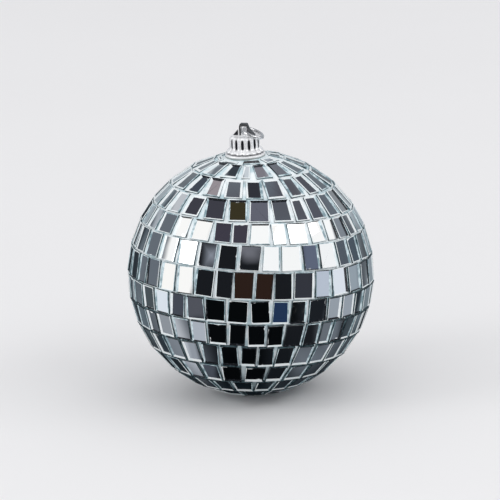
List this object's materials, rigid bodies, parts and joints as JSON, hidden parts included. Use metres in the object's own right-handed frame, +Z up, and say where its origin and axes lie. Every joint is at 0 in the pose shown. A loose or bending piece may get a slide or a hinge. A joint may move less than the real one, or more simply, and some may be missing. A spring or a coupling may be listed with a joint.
{
  "type": "mirror ball",
  "caption": "Small hanging mirror ball: a foam ball covered with hand-laid mirror tiles, with a fluted silver cap, a slotted eye and a swinging wire ring.",
  "frame": {"origin": "the hanging point: the axis of the ring in the cap's eye, on the ball's own axis, 48.0 mm above the centre of the ball", "axes": "+Z up along the ball's axis, out of the cap; -Y towards the front; the ring lies over towards +X"},
  "size_m": [0.0802, 0.0806, 0.0901],
  "materials": {
    "foam": "white expanded foam, matt and slightly beaded",
    "glue": "pale blue-white adhesive, semi-gloss, a little uneven",
    "mirror_tile": "silvered float glass, polished face, ground edge, pale green-blue sides",
    "cap_plating": "bright silver plating on moulded plastic",
    "ring_wire": "bright nickel-plated wire"
  },
  "bodies": {
    "ball": {"foam_core": "foam", "glue_coat": "glue", "tile_row_01": "mirror_tile", "tile_row_02": "mirror_tile", "tile_row_03": "mirror_tile", "tile_row_04": "mirror_tile", "tile_row_05": "mirror_tile", "tile_row_06": "mirror_tile", "tile_row_07": "mirror_tile", "tile_row_08": "mirror_tile", "tile_row_09": "mirror_tile", "tile_row_10": "mirror_tile", "tile_row_11": "mirror_tile", "tile_row_12": "mirror_tile", "tile_row_13": "mirror_tile", "tile_row_14": "mirror_tile", "pole_tile": "mirror_tile", "neck_plug": "cap_plating", "fluted_cap": "cap_plating"},
    "ring": {"hang_ring": "ring_wire"}
  },
  "joints": [
    {"name": "ring_swing", "type": "hinge", "parent": "ball", "child": "ring", "pos_m": [0, 0, 0], "axis": [-0.2756, -0.9613, 0], "range_deg": [0, 224.5]}
  ]
}
